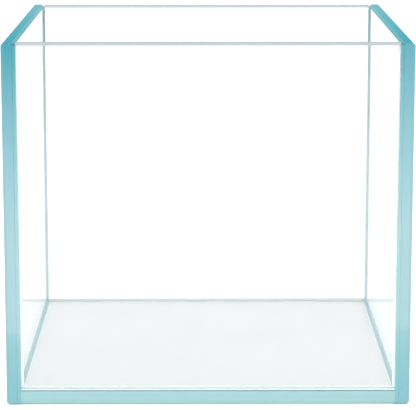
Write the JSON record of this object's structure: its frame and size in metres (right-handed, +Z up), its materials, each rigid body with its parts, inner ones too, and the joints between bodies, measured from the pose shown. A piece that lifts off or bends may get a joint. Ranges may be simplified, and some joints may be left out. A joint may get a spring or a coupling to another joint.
{
  "type": "glass aquarium tank",
  "caption": "Open-topped rimless square aquarium of thick clear glass panes, bonded edge to face with clear silicone and sealed by a bead in every inside corner.",
  "frame": {"origin": "middle of the footprint, on the surface that the tank stands on", "axes": "+Z up through the open top; -Y is the front and +X the right-hand side seen from the front"},
  "size_m": [0.3, 0.3, 0.27],
  "materials": {
    "glass": "clear float glass with polished edges, blue-green where it is seen along its length",
    "silicone": "clear cured silicone, smooth"
  },
  "bodies": {
    "root": {"bottom_pane": "glass", "left_pane": "glass", "right_pane": "glass", "front_pane": "glass", "back_pane": "glass", "bond_front_left": "silicone", "bond_front_right": "silicone", "bond_back_left": "silicone", "bond_back_right": "silicone", "bond_bottom_left": "silicone", "bond_bottom_right": "silicone", "bond_bottom_front": "silicone", "bond_bottom_back": "silicone", "bead_front_left": "silicone", "bead_front_right": "silicone", "bead_back_left": "silicone", "bead_back_right": "silicone", "bead_bottom_left": "silicone", "bead_bottom_right": "silicone", "bead_bottom_front": "silicone", "bead_bottom_back": "silicone"}
  },
  "joints": []
}
